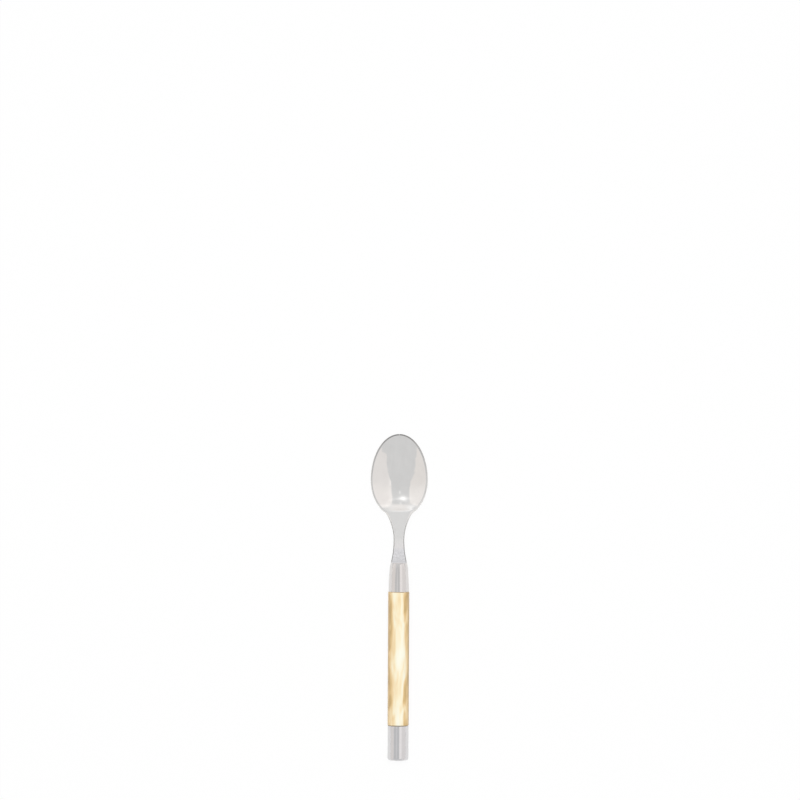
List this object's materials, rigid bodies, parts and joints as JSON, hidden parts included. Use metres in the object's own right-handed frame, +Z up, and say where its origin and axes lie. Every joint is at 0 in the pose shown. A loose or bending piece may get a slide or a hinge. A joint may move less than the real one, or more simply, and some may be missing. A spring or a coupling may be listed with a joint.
{
  "type": "espresso spoon",
  "caption": "Small spoon with an oval polished steel bowl, a flattened waisted neck, a round tapered collar, a pearly gold sleeve as the handle and a plain round steel end cap",
  "frame": {"origin": "centre of the spoon's outline on the table, so Z = 0 is the table that the bowl and the end cap rest on", "axes": "+Y along the spoon to the bowl's tip, +Z up out of the bowl, +X to the right for someone looking down with the bowl away from them; X = 0 is the plane of symmetry"},
  "size_m": [0.02, 0.1152, 0.011],
  "materials": {
    "steel": "polished",
    "gold_pearl": "gloss"
  },
  "bodies": {
    "root": {"spoon_head": "steel", "handle_sleeve": "gold_pearl", "end_cap": "steel"}
  },
  "joints": []
}
